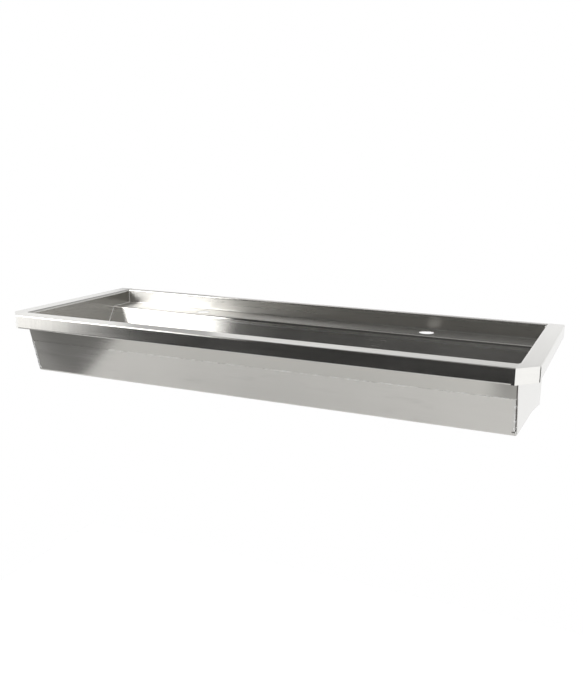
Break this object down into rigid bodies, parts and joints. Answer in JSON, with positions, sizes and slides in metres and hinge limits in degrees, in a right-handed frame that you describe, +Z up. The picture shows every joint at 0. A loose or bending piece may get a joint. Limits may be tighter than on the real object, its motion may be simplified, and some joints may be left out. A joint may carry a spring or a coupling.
{
  "type": "trough sink",
  "caption": "Wall-hung stainless wash trough with a folded rim, cut front corners, a tap ledge with tap holes, a sloping bowl, a grated waste and wall brackets.",
  "frame": {"origin": "centre of the four wall fixing holes, in the plane of the wall", "axes": "+X along the trough to the right seen from the front, +Y from the front into the wall, +Z up; the rim's top is 106 mm above the origin"},
  "size_m": [1.2, 0.46, 0.1886],
  "materials": {
    "satin_steel": "satin, ground along the length",
    "bracket_steel": "mill",
    "bright_steel": "bright",
    "seal_rubber": "matt",
    "pad_rubber": "matt",
    "white_plastic": "matt"
  },
  "bodies": {
    "root": {"bowl_pan": "satin_steel", "tap_ledge": "satin_steel", "front_rim": "satin_steel", "end_panel_left": "satin_steel", "end_panel_right": "satin_steel", "corner_plate_left": "satin_steel", "corner_plate_right": "satin_steel", "stud_plate_left": "bracket_steel", "stud_plate_right": "bracket_steel", "wall_bracket_left": "bracket_steel", "wall_bracket_right": "bracket_steel", "bracket_washers": "bright_steel", "bracket_nuts": "bright_steel", "floor_pad_left": "pad_rubber", "floor_pad_right": "pad_rubber", "earth_tag": "bracket_steel", "earth_screw": "bright_steel", "earth_washers": "bright_steel", "earth_nut": "bright_steel", "waste_body": "bright_steel", "waste_seal": "seal_rubber", "waste_grate": "bright_steel", "waste_screw": "bright_steel", "waste_lower_seal": "seal_rubber", "waste_slip_ring": "white_plastic", "waste_backnut": "bright_steel"}
  },
  "joints": []
}
